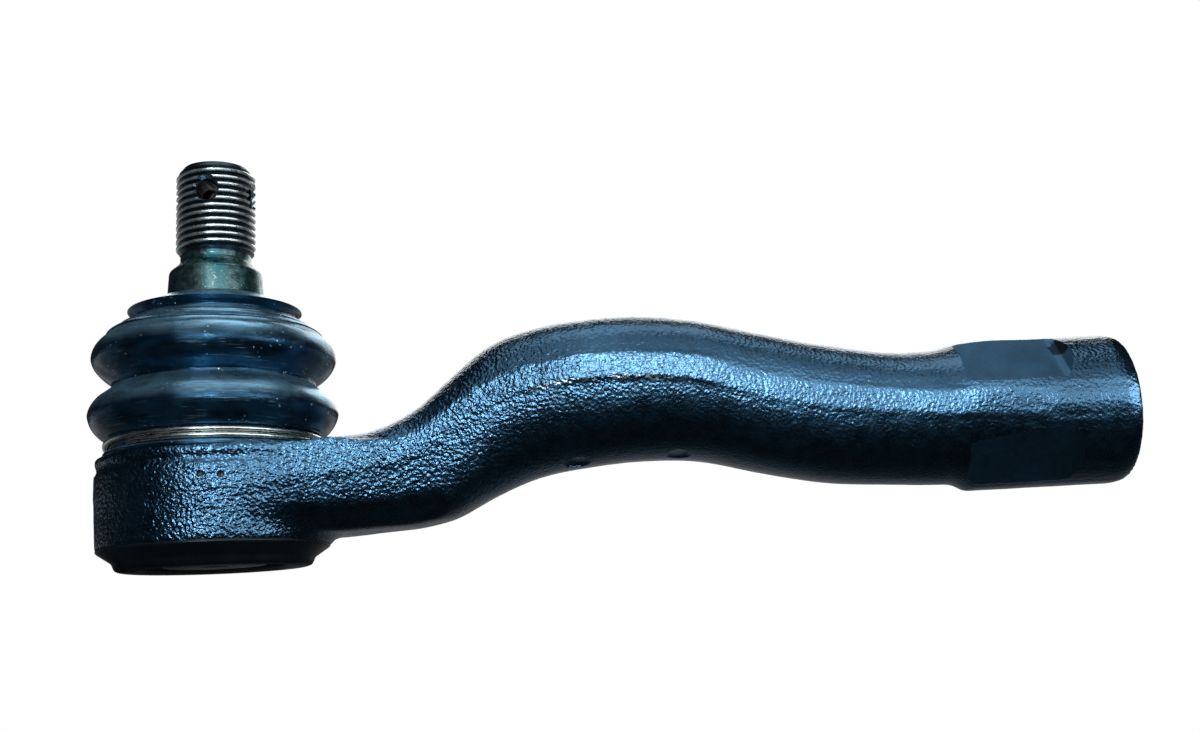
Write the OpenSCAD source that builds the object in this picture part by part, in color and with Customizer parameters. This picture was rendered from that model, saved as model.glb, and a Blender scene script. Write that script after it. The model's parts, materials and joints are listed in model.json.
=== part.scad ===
// Outer tie rod end: a forged arm whose barrel holds a ball stud, with a dust boot,
// and a female threaded socket at the far end for the tie rod.
// Origin: centre of the ball. +Z: along the stud, out of the barrel. +X: along the arm to the socket.

/* [Ball stud] */
// Ball diameter
ball_d = 26; // [25.6:0.1:26.2]
// Neck diameter just above the ball
neck_d = 14.6; // [13.6:0.1:14.6]
// Major diameter of the stud thread (1.5 mm pitch)
stud_thread_d = 16; // [15:0.5:16.5]
// Height of the stud's end above the ball centre
stud_top = 67.2; // [66:0.2:70]
// Height where the thread starts
thread_base = 48.6; // [48.2:0.1:49]
// Diameter of the thread undercut
undercut_d = 14.2; // [13:0.1:14.6]
// Height of the small end of the seat taper
taper_top = 44.6; // [44:0.1:45]
// Diameter of the small end of the seat taper
taper_small_d = 18.6; // [18:0.1:18.8]
// Height of the large end of the seat taper
taper_base = 30; // [29:0.2:32]
// Cotter pin hole diameter
pin_hole_d = 4.4; // [3.2:0.1:4.4]
// Height of the two crossed cotter pin holes
pin_hole_z = 61; // [58:0.2:62]

/* [Barrel] */
// Barrel diameter
barrel_d = 46; // [45:0.5:48]
// Height of the barrel's lower edge, below the ball centre
barrel_low = -12; // [-12.4:0.1:-11.6]
// Lowest height of the rolled lip that holds the cover plate
lip_low = -15.8; // [-16.4:0.1:-15.6]
// Diameter of the seat bore
cavity_d = 31; // [30:0.2:32]
// Diameter of the boot neck on the barrel
boot_neck_d = 38; // [37:0.2:38.4]
// Height of the barrel's upper rim
rim_top = 11.2; // [11:0.1:11.6]

/* [Arm] */
// Distance from the ball centre to the socket's end face
arm_length = 183; // [180:1:190]
// Height of the socket axis above the ball centre
socket_z = 6.8; // [6.4:0.1:7.2]
// Width of the arm at its hump
arm_width = 28; // [26:0.5:29]

/* [Socket] */
// Outside diameter of the socket boss
boss_d = 30; // [29.6:0.1:31]
// Across-flats size of the four wrench flats
flats = 27; // [26.6:0.1:28]
// Tapping diameter of the socket (M20 x 1.5)
socket_hole_d = 18.4; // [17.4:0.1:18.6]
// Depth of the socket from the end face
socket_depth = 50; // [45:1:52]

/* [Boot] */
// Largest diameter of the lower fold
lower_fold_d = 49; // [48:0.2:50]
// Largest diameter of the upper fold
upper_fold_d = 48; // [47:0.2:49]
// Diameter at the waist between the folds
waist_d = 40; // [39.6:0.1:41]
// Height of the waist
waist_z = 21; // [20.8:0.1:21.2]
// Diameter of the sealing lip's outer edge
seal_lip_d = 34.6; // [34:0.2:36]
// Rubber thickness
rubber = 1.8; // [1.6:0.1:2]

/* [Hidden] */

round_fn = 96;
overlap = 1;                 // how far a cutter runs past the face it cuts
ball_clear = 0.04;           // running clearance, ball to seat
seat_clear = 0.02;           // seat to barrel bore
stud_clear = 0.06;           // running clearance, boot lip to taper
body_gap = 0.1;              // half the gap between boot sections on different bodies

ball_r = ball_d / 2;
neck_r = neck_d / 2;
thread_r = stud_thread_d / 2;
undercut_r = undercut_d / 2;
thread_tip_r = thread_r - 1.4;
barrel_r = barrel_d / 2;
cavity_r = cavity_d / 2;
boot_neck_r = boot_neck_d / 2;
taper_rate = 1 / 16;         // radius per unit height: a 1 in 8 taper on diameter
function taper_r(z) = taper_small_d / 2 + (taper_top - z) * taper_rate;

// Seats
seat_edge_angle = 60.2;      // from the stud axis: neck 34, swing 25, margin 1
seat_top = 7;
seat_split = 0.2;            // each seat stops this far from the ball's equator
lower_seat_low = -11.5;
lower_seat_hole_r = 8;

// Cover plate and what sits on it
cover_r = 17;
cover_top = -12.8;
cover_t = 1.6;
seal_t = 0.8;
dish_r = 8.8;
dish_drop = 0.8;
lip_hole_r = 14.8;

// Turned seat for the boot's foot
boot_seat_z = 6.2;
boot_seat_r = barrel_r - 0.4;

// Boot clamp ring: two turns of flat wire
wire_h = 1.2;
wire_w = 1.1;
clamp_low = 7.5;
clamp_r = 20.4;

// Boot seal lip
lip_edge_z = 36.3;
lip_top_z = 39.2;
lip_base_z = 33.4;

// ---- Ball stud ----
module stud_profile() {
    polygon([
        [0, 5], [neck_r, 5], [neck_r, 15], [neck_r + 0.5, 17.5], [taper_r(taper_base) - 0.6, 24.5],
        [taper_r(taper_base), 27], [taper_r(taper_base), taper_base], [taper_r(taper_top), taper_top],
        [taper_r(taper_top) - 0.9, taper_top + 0.9], [undercut_r, taper_top + 1.9],
        [undercut_r, thread_base - 0.8], [thread_r, thread_base], [thread_r, stud_top - 1.9],
        [thread_tip_r, stud_top], [0, stud_top]
    ]);
}

module pin_hole() {
    rotate([90, 0, 0]) cylinder(d = pin_hole_d, h = stud_thread_d + 2, center = true, $fn = 48);
    for (side = [-1, 1])
        rotate([side * 90, 0, 0])
            translate([0, 0, thread_r - 0.7])
                cylinder(d1 = pin_hole_d, d2 = pin_hole_d + 2.8, h = 1.4, $fn = 48);
}

module ball_stud() {
    color([0.16, 0.26, 0.28])
        difference() {
            union() {
                difference() {
                    sphere(d = ball_d, $fn = round_fn);
                    translate([0, 0, -ball_r - 0.2]) cylinder(r = ball_r, h = 1, $fn = round_fn);
                }
                rotate_extrude($fn = round_fn) stud_profile();
            }
            for (turn = [0, 90]) translate([0, 0, pin_hole_z]) rotate([0, 0, turn]) pin_hole();
        }
}

// ---- Barrel ----
module barrel_profile() {
    polygon([
        [0, lip_low], [18.2, lip_low], [19, lip_low + 0.7], [19.3, lip_low + 1.6],
        [barrel_r - 0.5, barrel_low], [barrel_r, barrel_low + 0.6], [barrel_r, 2.6],
        [barrel_r - 0.5, 3.4], [barrel_r - 0.5, 4.3], [barrel_r - 0.1, 4.8], [barrel_r - 0.1, 5.6],
        [barrel_r - 0.7, boot_seat_z], [barrel_r - 2, boot_seat_z], [barrel_r - 2, rim_top], [0, rim_top]
    ]);
}

// The turned seat that the boot's foot and clamp ring sit in, and the rim inside the boot.
module boot_seat_profile() {
    head = 30;
    polygon([
        [boot_neck_r, boot_seat_z], [boot_seat_r, boot_seat_z], [boot_seat_r, head], [0, head],
        [0, rim_top], [boot_neck_r + 0.4, rim_top], [boot_neck_r + 0.8, rim_top - 0.4],
        [boot_neck_r + 0.8, boot_seat_z + 3.4], [boot_neck_r, boot_seat_z + 3]
    ]);
}

module cavity_profile() {
    polygon([
        [0, lip_low - overlap], [lip_hole_r + 0.4, lip_low - overlap], [lip_hole_r + 0.4, lip_low],
        [lip_hole_r, lip_low + 0.4], [lip_hole_r, cover_top - cover_t], [cover_r, cover_top - cover_t],
        [cover_r, cover_top + seal_t], [cavity_r, cover_top + seal_t], [cavity_r, seat_top],
        [12.5, seat_top], [13.9, rim_top], [14.2, rim_top + overlap], [0, rim_top + overlap]
    ]);
}

// ---- Arm ----
// Stations along the arm: distance from the ball centre, top height, bottom height, width.
stations = [
    [12, 7.6, -10, 39], [24, 8.8, -10.6, 31], [33, 10, -10.2, 26.6], [41, 13.8, -9.7, 25],
    [48, 19.6, -8.2, 25], [56, 25.8, -4.4, 25.8], [65, 29, -1, 27], [75, 30.3, 0.6, arm_width],
    [86, 30.5, 1.3, arm_width], [98, 29, 0.6, arm_width], [110, 25.9, -2.4, 27.6],
    [122, 23, -4.9, 27.2], [134, 20.9, -6, 27.2], [143, 20.4, -6.6, 28], [153, 21, -6.8, 28.8]
];
ring_points = 20;
slices_per_span = 3;
corner_power = 0.8;          // below 1 squares the oval section off

function spline(a, b, c, d, t) =
    0.5 * (2 * b + (c - a) * t + (2 * a - 5 * b + 4 * c - d) * t * t + (3 * b - a - 3 * c + d) * t * t * t);
function station(i) = stations[max(0, min(len(stations) - 1, i))];
function along(s) =
    let (i = min(floor(s), len(stations) - 2), t = s - i)
    spline(station(i - 1), station(i), station(i + 1), station(i + 2), t);
function squared(v) = sign(v) * pow(abs(v), corner_power);
function ring(st) = [
    for (k = [0 : ring_points - 1])
        let (a = 360 * k / ring_points)
        [st[0], st[3] / 2 * squared(cos(a)), (st[1] + st[2]) / 2 + (st[1] - st[2]) / 2 * squared(sin(a))]
];

module arm() {
    slices = (len(stations) - 1) * slices_per_span;
    points = [for (i = [0 : slices]) each ring(along(i / slices_per_span))];
    sides = [
        for (i = [0 : slices - 1], k = [0 : ring_points - 1])
            let (n = (k + 1) % ring_points, a = i * ring_points, b = a + ring_points)
            each [[a + k, b + n, a + n], [a + k, b + k, b + n]]
    ];
    first = [for (k = [0 : ring_points - 1]) k];
    last = [for (k = [ring_points - 1 : -1 : 0]) slices * ring_points + k];
    polyhedron(points = points, faces = concat(sides, [first, last]), convexity = 4);
}

// ---- Socket ----
flats_from = 150.4;
flats_to = 168;
boss_edge = 3.8;

module socket_boss() {
    boss_r = boss_d / 2;
    translate([0, 0, socket_z])
        rotate([0, 90, 0])
            rotate_extrude($fn = round_fn)
                polygon([
                    [0, flats_from], [boss_r, flats_from],
                    for (a = [0 : 15 : 90])
                        [boss_r - boss_edge * (1 - cos(a)), arm_length - boss_edge * (1 - sin(a))],
                    [0, arm_length]
                ]);
}

module flat_cutters() {
    for (turn = [45 : 90 : 315])
        translate([flats_from - overlap, 0, socket_z])
            rotate([turn, 0, 0])
                translate([0, -boss_d / 2, flats / 2])
                    cube([flats_to - flats_from + overlap, boss_d, 6]);
}

module socket_hole() {
    translate([arm_length, 0, socket_z])
        rotate([0, -90, 0]) {
            cylinder(d = socket_hole_d, h = socket_depth, $fn = round_fn);
            translate([0, 0, -overlap])
                cylinder(d1 = socket_hole_d + 4.6, d2 = socket_hole_d, h = 1.3 + overlap, $fn = round_fn);
            translate([0, 0, socket_depth])
                cylinder(d1 = socket_hole_d, d2 = 0.4, h = socket_hole_d * 0.3, $fn = round_fn);
        }
}

module forged_body() {
    color([0.07, 0.12, 0.17])
        difference() {
            union() {
                rotate_extrude($fn = round_fn) barrel_profile();
                arm();
                difference() {
                    socket_boss();
                    flat_cutters();
                }
            }
            rotate_extrude($fn = round_fn) boot_seat_profile();
            rotate_extrude($fn = round_fn) cavity_profile();
            socket_hole();
        }
}

// ---- Inside the barrel ----
module stud_side_seat() {
    edge_r = ball_r * sin(seat_edge_angle);
    edge_z = ball_r * cos(seat_edge_angle);
    color([0.92, 0.9, 0.84])
        difference() {
            rotate_extrude($fn = round_fn)
                polygon([
                    [8, seat_split], [cavity_r - seat_clear, seat_split],
                    [cavity_r - seat_clear, seat_top - seat_clear], [12.3, seat_top - seat_clear],
                    [edge_r, edge_z], [8, edge_z]
                ]);
            sphere(r = ball_r + ball_clear, $fn = round_fn);
        }
}

module cap_side_seat() {
    color([0.92, 0.9, 0.84])
        difference() {
            translate([0, 0, lower_seat_low])
                cylinder(r = cavity_r - seat_clear, h = -lower_seat_low - seat_split, $fn = round_fn);
            sphere(r = ball_r + ball_clear, $fn = round_fn);
            translate([0, 0, lower_seat_low - overlap])
                cylinder(r = lower_seat_hole_r, h = 4, $fn = round_fn);
        }
}

module disc_spring() {
    color([0.45, 0.47, 0.5])
        rotate_extrude($fn = round_fn)
            polygon([
                [9, lower_seat_low - 0.02], [9, lower_seat_low - 0.62],
                [15, cover_top + 0.02], [15, cover_top + 0.62]
            ]);
}

module cover_seal_ring() {
    color([0.08, 0.08, 0.09])
        rotate_extrude($fn = round_fn)
            translate([cavity_r + 0.1, cover_top]) square([cover_r - cavity_r - 0.1, seal_t]);
}

module cover_plate() {
    low = cover_top - cover_t;
    color([0.1, 0.13, 0.16])
        rotate_extrude($fn = round_fn)
            polygon([
                [0, cover_top - dish_drop], [dish_r, cover_top - dish_drop], [dish_r + 1, cover_top],
                [cover_r, cover_top], [cover_r, low], [dish_r + 1.6, low], [dish_r + 0.4, low - dish_drop],
                [0, low - dish_drop]
            ]);
}

// ---- Dust boot ----
module boot_lower_fold() {
    fold_r = lower_fold_d / 2;
    waist_r = waist_d / 2;
    top = waist_z - body_gap;
    color([0.05, 0.09, 0.13])
        rotate_extrude($fn = round_fn)
            polygon([
                [boot_neck_r, 6.2], [21.6, 6.2], [21.6, 7.3], [clamp_r, clamp_low], [clamp_r, 9.9],
                [21.9, 10.3], [23.2, 11.6], [fold_r - 0.3, 13.2], [fold_r, 15], [fold_r - 0.5, 16.8],
                [fold_r - 1.7, 18.4], [waist_r + 1, 19.8], [waist_r, top], [waist_r - rubber, top],
                [waist_r - rubber + 0.4, 19.9], [fold_r - 4.1, 18], [fold_r - 2.3, 16.2], [fold_r - 2, 14.6],
                [21.3, 12.6], [20.4, 11.5], [boot_neck_r + 0.85, 11], [boot_neck_r + 0.85, 9.6], [boot_neck_r, 9.2]
            ]);
}

module boot_upper_fold() {
    fold_r = upper_fold_d / 2;
    waist_r = waist_d / 2;
    base = waist_z + body_gap;
    top = lip_base_z - body_gap;
    color([0.05, 0.09, 0.13])
        rotate_extrude($fn = round_fn)
            polygon([
                [waist_r - rubber, base], [waist_r, base], [fold_r - 1.9, 22.8], [fold_r - 0.5, 24.4],
                [fold_r, 26.4], [fold_r - 0.3, 28], [fold_r - 1.2, 29.4], [fold_r - 2.7, 30.7], [fold_r - 2.7, 31.3],
                [fold_r - 4.2, 32.4], [18.4, top], [16, top], [fold_r - 6, 31.2], [fold_r - 3.6, 29],
                [fold_r - 2.2, 27.4], [fold_r - 2, 25.8], [fold_r - 3, 24]
            ]);
}

module boot_lip() {
    edge_r = seal_lip_d / 2;
    bore_r = taper_r(lip_base_z) + stud_clear;
    color([0.05, 0.09, 0.13])
        difference() {
            rotate_extrude($fn = round_fn)
                polygon([
                    [bore_r, lip_base_z + 0.4], [15.4, lip_base_z], [18.2, lip_base_z], [16.4, 34.3],
                    [edge_r - 0.3, edge_z_low()], [edge_r, lip_edge_z], [edge_r - 2.2, 37.4],
                    [bore_r + 0.5, lip_top_z], [bore_r, lip_top_z - 0.2]
                ]);
            lip_insert_ring();
        }
}
function edge_z_low() = lip_edge_z - 0.9;

module lip_insert_ring() {
    color([0.5, 0.52, 0.54])
        rotate_extrude($fn = round_fn)
            polygon([[12.2, 34.4], [13.2, 34.4], [13.2, 36.2], [14.6, 36.2], [14.6, 37], [12.2, 37]]);
}

// Two turns of flat wire side by side, with the step where the outer end stops.
module boot_clamp_ring() {
    color([0.8, 0.85, 0.88])
        difference() {
            rotate_extrude($fn = round_fn)
                polygon([
                    [clamp_r, clamp_low], [clamp_r + wire_w - 0.15, clamp_low],
                    [clamp_r + wire_w, clamp_low + 0.15], [clamp_r + wire_w, clamp_low + wire_h - 0.15],
                    [clamp_r + wire_w - 0.2, clamp_low + wire_h],
                    [clamp_r + wire_w, clamp_low + wire_h + 0.15],
                    [clamp_r + wire_w, clamp_low + 2 * wire_h - 0.15],
                    [clamp_r + wire_w - 0.15, clamp_low + 2 * wire_h], [clamp_r, clamp_low + 2 * wire_h]
                ]);
            rotate([0, 0, 236])
                translate([clamp_r + 0.4, -1.5, clamp_low - overlap])
                    cube([3, 3, overlap + wire_h - 0.1]);
        }
}

forged_body();
ball_stud();
stud_side_seat();
cap_side_seat();
disc_spring();
cover_seal_ring();
cover_plate();
boot_lower_fold();
boot_upper_fold();
boot_lip();
lip_insert_ring();
boot_clamp_ring();
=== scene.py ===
"""Builds the visible model of a tie rod end: forged arm, ball stud, dust boot, clamp ring, cover and stage."""

import json
import math

import bmesh
import bpy
import numpy as np
import openvdb
from bpy.props import FloatProperty, FloatVectorProperty, PointerProperty
from mathutils import Matrix, Vector, noise

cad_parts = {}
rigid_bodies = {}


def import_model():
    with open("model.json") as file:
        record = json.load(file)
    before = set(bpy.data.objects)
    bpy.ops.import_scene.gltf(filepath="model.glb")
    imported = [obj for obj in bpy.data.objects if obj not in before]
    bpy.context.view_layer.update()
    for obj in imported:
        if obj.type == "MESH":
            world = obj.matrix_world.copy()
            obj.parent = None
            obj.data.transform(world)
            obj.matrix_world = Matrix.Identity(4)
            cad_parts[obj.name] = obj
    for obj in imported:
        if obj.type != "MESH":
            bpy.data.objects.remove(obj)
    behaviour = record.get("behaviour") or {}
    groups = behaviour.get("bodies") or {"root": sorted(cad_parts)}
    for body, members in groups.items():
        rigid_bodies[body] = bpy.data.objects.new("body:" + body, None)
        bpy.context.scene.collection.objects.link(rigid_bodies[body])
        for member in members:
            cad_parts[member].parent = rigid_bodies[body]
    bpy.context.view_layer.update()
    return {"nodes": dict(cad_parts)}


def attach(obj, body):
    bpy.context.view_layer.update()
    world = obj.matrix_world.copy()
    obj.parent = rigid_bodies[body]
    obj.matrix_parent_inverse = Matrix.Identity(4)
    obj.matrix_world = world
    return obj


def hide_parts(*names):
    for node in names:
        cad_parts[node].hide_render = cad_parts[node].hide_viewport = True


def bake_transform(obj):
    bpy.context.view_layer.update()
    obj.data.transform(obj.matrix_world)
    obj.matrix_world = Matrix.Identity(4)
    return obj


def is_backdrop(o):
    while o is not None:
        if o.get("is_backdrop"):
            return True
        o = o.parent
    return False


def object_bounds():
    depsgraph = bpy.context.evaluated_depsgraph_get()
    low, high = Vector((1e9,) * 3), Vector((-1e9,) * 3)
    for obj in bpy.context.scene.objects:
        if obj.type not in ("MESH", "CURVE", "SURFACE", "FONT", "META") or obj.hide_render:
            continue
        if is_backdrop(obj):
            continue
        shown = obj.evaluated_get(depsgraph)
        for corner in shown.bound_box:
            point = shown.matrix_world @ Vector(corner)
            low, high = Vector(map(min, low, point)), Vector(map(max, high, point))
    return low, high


bl_info = {
    "name": "Tie rod end",
    "version": (1, 0, 0),
    "blender": (4, 5, 0),
    "location": "3D View > Sidebar > Tie rod end",
    "description": "Builds a forged tie rod end with its ball stud, boot and clamp ring",
    "category": "Object",
}

for start_object in list(bpy.data.objects):
    bpy.data.objects.remove(start_object)

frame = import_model()

MM = 0.001
TURN = 2 * math.pi

# Shared heights and radii in millimetres, from the ball centre
BOOT_SEAT = 6.2
WAIST = 21.0
COVER_TOP = -12.8
COVER_RADIUS = 17.0
BORE_RADIUS = 15.5
RIM_TOP = 11.2
TAPER_TOP = 44.6
TAPER_SMALL = 9.3
TAPER_RATE = 1 / 16
BARREL_RADIUS = 23.0
FORGING_LOW = (-25.0, -25.0, -14.0)
FORGING_SIDE = 25.0
FORGING_TOP = 33.0
FLATS_FROM, FLATS_TO = 149.2, 171.6
FLAT_TURNS = (45, 135, 225, 315)
PUNCH_SPOTS = ((3.6, 0.6), (7.1, 0.4))
RIDGE_DENTS = ((73, 0.9), (93, 1.3))

# Unevenness of each surface: (wavelength, height) in millimetres
FORGED_RIPPLE = ((9.0, 0.07), (2.6, 0.02), (1.3, 0.02))
LOWER_FOLD_RIPPLE = ((14.0, 0.35), (5.0, 0.12))
UPPER_FOLD_RIPPLE = ((13.0, 0.35), (5.0, 0.12))

# In metres, as the materials measure
HUMP_MIDDLE = 0.08
# Centre of the painted shade on the upper front flat's run-out
RUNOUT_SHADE_PLACE = (0.1702, -0.0085, 0.0188)

WHITE = (1, 1, 1, 1)
# Silver for painted highlights on edges and thread crests
HIGHLIGHT_SILVER = (0.7, 0.78, 0.8, 1)


# ---- Meshes ----


def new_piece(name, points, faces, materials, material=0):
    """A mesh object from points in millimetres, with its place in its mesh."""
    mesh = bpy.data.meshes.new(name)
    mesh.from_pydata((np.asarray(points, float) * MM).tolist(), [], faces)
    piece = bpy.data.objects.new(name, mesh)
    bpy.context.scene.collection.objects.link(piece)
    for m in materials:
        mesh.materials.append(m)
    mesh.polygons.foreach_set("material_index", [material] * len(mesh.polygons))
    return piece


def clean_up(piece, merge=0.002):
    """Merges doubled points, drops flattened faces and turns every face outwards."""
    bm = bmesh.new()
    bm.from_mesh(piece.data)
    bmesh.ops.remove_doubles(bm, verts=bm.verts, dist=merge * MM)
    bmesh.ops.dissolve_degenerate(bm, edges=bm.edges, dist=1e-8)
    bmesh.ops.recalc_face_normals(bm, faces=bm.faces)
    bm.to_mesh(piece.data)
    bm.free()
    return piece


def shade(piece, angle=35):
    """Smooth shading that breaks at edges sharper than the angle in degrees."""
    piece.data.shade_smooth()
    piece.data.set_sharp_from_angle(angle=math.radians(angle))
    return piece


def split_finishes(piece):
    """Keeps the shading of one finish from running into the next."""
    bm = bmesh.new()
    bm.from_mesh(piece.data)
    for edge in bm.edges:
        if len({face.material_index for face in edge.link_faces}) > 1:
            edge.smooth = False
    bm.to_mesh(piece.data)
    bm.free()
    return piece


def applied(piece):
    """Makes the evaluated mesh the piece's own and removes its modifiers."""
    bpy.context.view_layer.update()
    graph = bpy.context.evaluated_depsgraph_get()
    mesh = bpy.data.meshes.new_from_object(piece.evaluated_get(graph))
    piece.modifiers.clear()
    old = piece.data
    piece.data = mesh
    mesh.name = piece.name
    if old.users == 0:
        bpy.data.meshes.remove(old)
    return piece


def open_edges(piece):
    """How many edges don't lie between exactly two faces. The boolean leaves a piece uncut if there are any."""
    bm = bmesh.new()
    bm.from_mesh(piece.data)
    count = sum(not edge.is_manifold for edge in bm.edges)
    bm.free()
    return count


def carve(piece, tool, operation="DIFFERENCE"):
    """Cuts the tool out of the piece, or joins it on, and removes the tool."""
    for part in (piece, tool):
        if open_edges(part):
            raise RuntimeError(f"{part.name} is not closed, so {tool.name} can't be applied to {piece.name}")
    modifier = piece.modifiers.new("carve", "BOOLEAN")
    modifier.operation = operation
    modifier.solver = "MANIFOLD"
    modifier.object = tool
    applied(piece)
    bpy.data.objects.remove(tool)
    if not piece.data.polygons:
        raise RuntimeError(f"nothing is left of {piece.name}")
    return piece


def rounded(corners, steps=5):
    """A closed outline from corners of (radius, height, fillet), each corner softened over its fillet."""
    outline = []
    for i, (x, y, fillet) in enumerate(corners):
        here = np.array([x, y])
        to_last = np.array(corners[i - 1][:2]) - here
        to_next = np.array(corners[(i + 1) % len(corners)][:2]) - here
        last_length, next_length = np.linalg.norm(to_last), np.linalg.norm(to_next)
        if fillet <= 0:
            outline.append(here)
            continue
        reach = min(fillet, 0.45 * last_length, 0.45 * next_length)
        start = here + to_last / last_length * reach
        end = here + to_next / next_length * reach
        for t in np.linspace(0, 1, steps + 1):
            outline.append((1 - t) ** 2 * start + 2 * t * (1 - t) * here + t * t * end)
    return outline


def flowing(points, steps=6):
    """An open line that runs smoothly through points of any number of values."""
    rows = np.asarray(points, float)
    padded = np.vstack([rows[:1], rows, rows[-1:]])
    line = []
    for a, b, c, d in zip(padded, padded[1:], padded[2:], padded[3:]):
        for t in np.arange(steps) / steps:
            line.append(
                0.5 * (2 * b + (c - a) * t + (2 * a - 5 * b + 4 * c - d) * t**2 + (3 * b - a - 3 * c + d) * t**3)
            )
    line.append(rows[-1])
    return np.array(line)


def turned(name, outline, materials, material=0, segments=192):
    """A closed outline of (radius, height) turned about Z."""
    angles = np.arange(segments) * TURN / segments
    points, rings, faces = [], [], []
    for radius, height in outline:
        first = len(points)
        if radius < 1e-6:
            points.append((0, 0, height))
            rings.append([first] * segments)
        else:
            points += [(radius * math.cos(a), radius * math.sin(a), height) for a in angles]
            rings.append(list(range(first, first + segments)))
    for ring, next_ring in zip(rings, rings[1:] + rings[:1]):
        if ring[0] == ring[1] and next_ring[0] == next_ring[1]:
            continue
        for k in range(segments):
            n = (k + 1) % segments
            face = list(dict.fromkeys((ring[k], ring[n], next_ring[n], next_ring[k])))
            faces.append(face)
    return clean_up(new_piece(name, points, faces, materials, material))


def set_place(piece, matrix):
    """Moves the mesh itself, so that its object stays at the origin."""
    piece.data.transform(matrix)
    piece.data.update()
    return piece


def roughen(piece, layers, keep=None):
    """Moves each point along its normal by layers of smooth noise: (wavelength, height) in millimetres."""
    mesh = piece.data
    count = len(mesh.vertices)
    points = np.zeros(count * 3, np.float32)
    mesh.vertices.foreach_get("co", points)
    normals = np.zeros(count * 3, np.float32)
    mesh.vertex_normals.foreach_get("vector", normals)
    points, normals = points.reshape(-1, 3), normals.reshape(-1, 3)
    lift = np.zeros(count)
    for number, (wavelength, height) in enumerate(layers):
        where = points / (wavelength * MM) + 7.3 * number
        lift += height * MM * np.array([noise.noise(Vector(p)) for p in where.tolist()])
    if keep is not None:
        lift *= keep(points / MM)
    points = points + normals * lift[:, None]
    mesh.vertices.foreach_set("co", points.astype(np.float32).ravel())
    mesh.update()
    return piece


# ---- Node trees ----


class Wiring:
    """Adds nodes to a tree and joins their sockets, so that a formula reads as one line."""

    def __init__(self, tree):
        self.tree = tree

    def feed(self, socket, value):
        if isinstance(value, bpy.types.NodeSocket):
            self.tree.links.new(value, socket)
        else:
            socket.default_value = value

    def add(self, kind, inputs=None, **settings):
        made = self.tree.nodes.new(kind)
        for key, value in settings.items():
            setattr(made, key, value)
        for key, value in (inputs or {}).items():
            self.feed(made.inputs[key], value)
        return made

    def calc(self, operation, *values):
        made = self.add("ShaderNodeMath", operation=operation)
        for socket, value in zip(made.inputs, values):
            self.feed(socket, value)
        return made.outputs[0]

    def times(self, a, b):
        return self.calc("MULTIPLY", a, b)

    def plus(self, a, b):
        return self.calc("ADD", a, b)

    def minus(self, a, b):
        return self.calc("SUBTRACT", a, b)

    def one_minus(self, value):
        return self.calc("SUBTRACT", 1.0, value)

    def parts(self, vector):
        """The X, Y and Z outputs of a vector."""
        return self.add("ShaderNodeSeparateXYZ", {"Vector": vector}).outputs

    def from_axis(self, x, y):
        """How far a point at x and y is from the axis."""
        return self.calc("SQRT", self.plus(self.times(x, x), self.times(y, y)))

    def round_axis(self, radius, angle, height):
        """The place at this radius, angle and height round Z."""
        x = self.times(radius, self.calc("COSINE", angle))
        y = self.times(radius, self.calc("SINE", angle))
        return self.add("ShaderNodeCombineXYZ", {"X": x, "Y": y, "Z": height}).outputs[0]

    def span(self, value, low, high, to_low=0.0, to_high=1.0):
        """value from low..high to to_low..to_high, held at the ends."""
        inputs = {"Value": value, "From Min": low, "From Max": high, "To Min": to_low, "To Max": to_high}
        return self.add("ShaderNodeMapRange", inputs, interpolation_type="SMOOTHSTEP").outputs[0]

    def mix(self, share, first, second):
        made = self.add("ShaderNodeMix", data_type="RGBA")
        for index, value in ((0, share), (6, first), (7, second)):
            self.feed(made.inputs[index], value)
        return made.outputs[2]

    def grain(self, vector, scale, detail=2.0, roughness=0.5, stretch=(1, 1, 1)):
        """Smooth noise from 0 to 1, with features of about 1/scale metres."""
        if stretch != (1, 1, 1):
            vector = self.add("ShaderNodeMapping", {"Vector": vector, "Scale": stretch}).outputs[0]
        inputs = {"Vector": vector, "Scale": scale, "Detail": detail, "Roughness": roughness}
        return self.add("ShaderNodeTexNoise", inputs).outputs["Fac"]


def node_group(name, kind, inputs, outputs):
    """A new node group with sockets of (name, type, default), and its wiring, input and output nodes."""
    tree = bpy.data.node_groups.new(name, kind)
    for label, socket_type, default in inputs:
        socket = tree.interface.new_socket(label, in_out="INPUT", socket_type=socket_type)
        if default is not None:
            socket.default_value = default
    for label, socket_type in outputs:
        tree.interface.new_socket(label, in_out="OUTPUT", socket_type=socket_type)
    wiring = Wiring(tree)
    return tree, wiring, wiring.add("NodeGroupInput"), wiring.add("NodeGroupOutput")


def end_geometry(w, geometry, material, result):
    """Ends a geometry tree with real meshes in the material asked for."""
    real = w.add("GeometryNodeRealizeInstances", {"Geometry": geometry})
    finish = w.add("GeometryNodeSetMaterial", {"Geometry": real.outputs[0], "Material": material})
    w.feed(result.inputs[0], finish.outputs[0])


def grow(name, tree, values):
    """The mesh that a geometry tree makes with these inputs, as an object without modifiers."""
    piece = bpy.data.objects.new(name, bpy.data.meshes.new(name))
    bpy.context.scene.collection.objects.link(piece)
    modifier = piece.modifiers.new("grow", "NODES")
    modifier.node_group = tree
    for item in tree.interface.items_tree:
        if item.item_type == "SOCKET" and item.in_out == "INPUT" and item.name in values:
            modifier[item.identifier] = values[item.name]
    applied(piece)
    if not piece.data.polygons:
        raise RuntimeError(f"the tree for {name} made no faces")
    return piece


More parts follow.
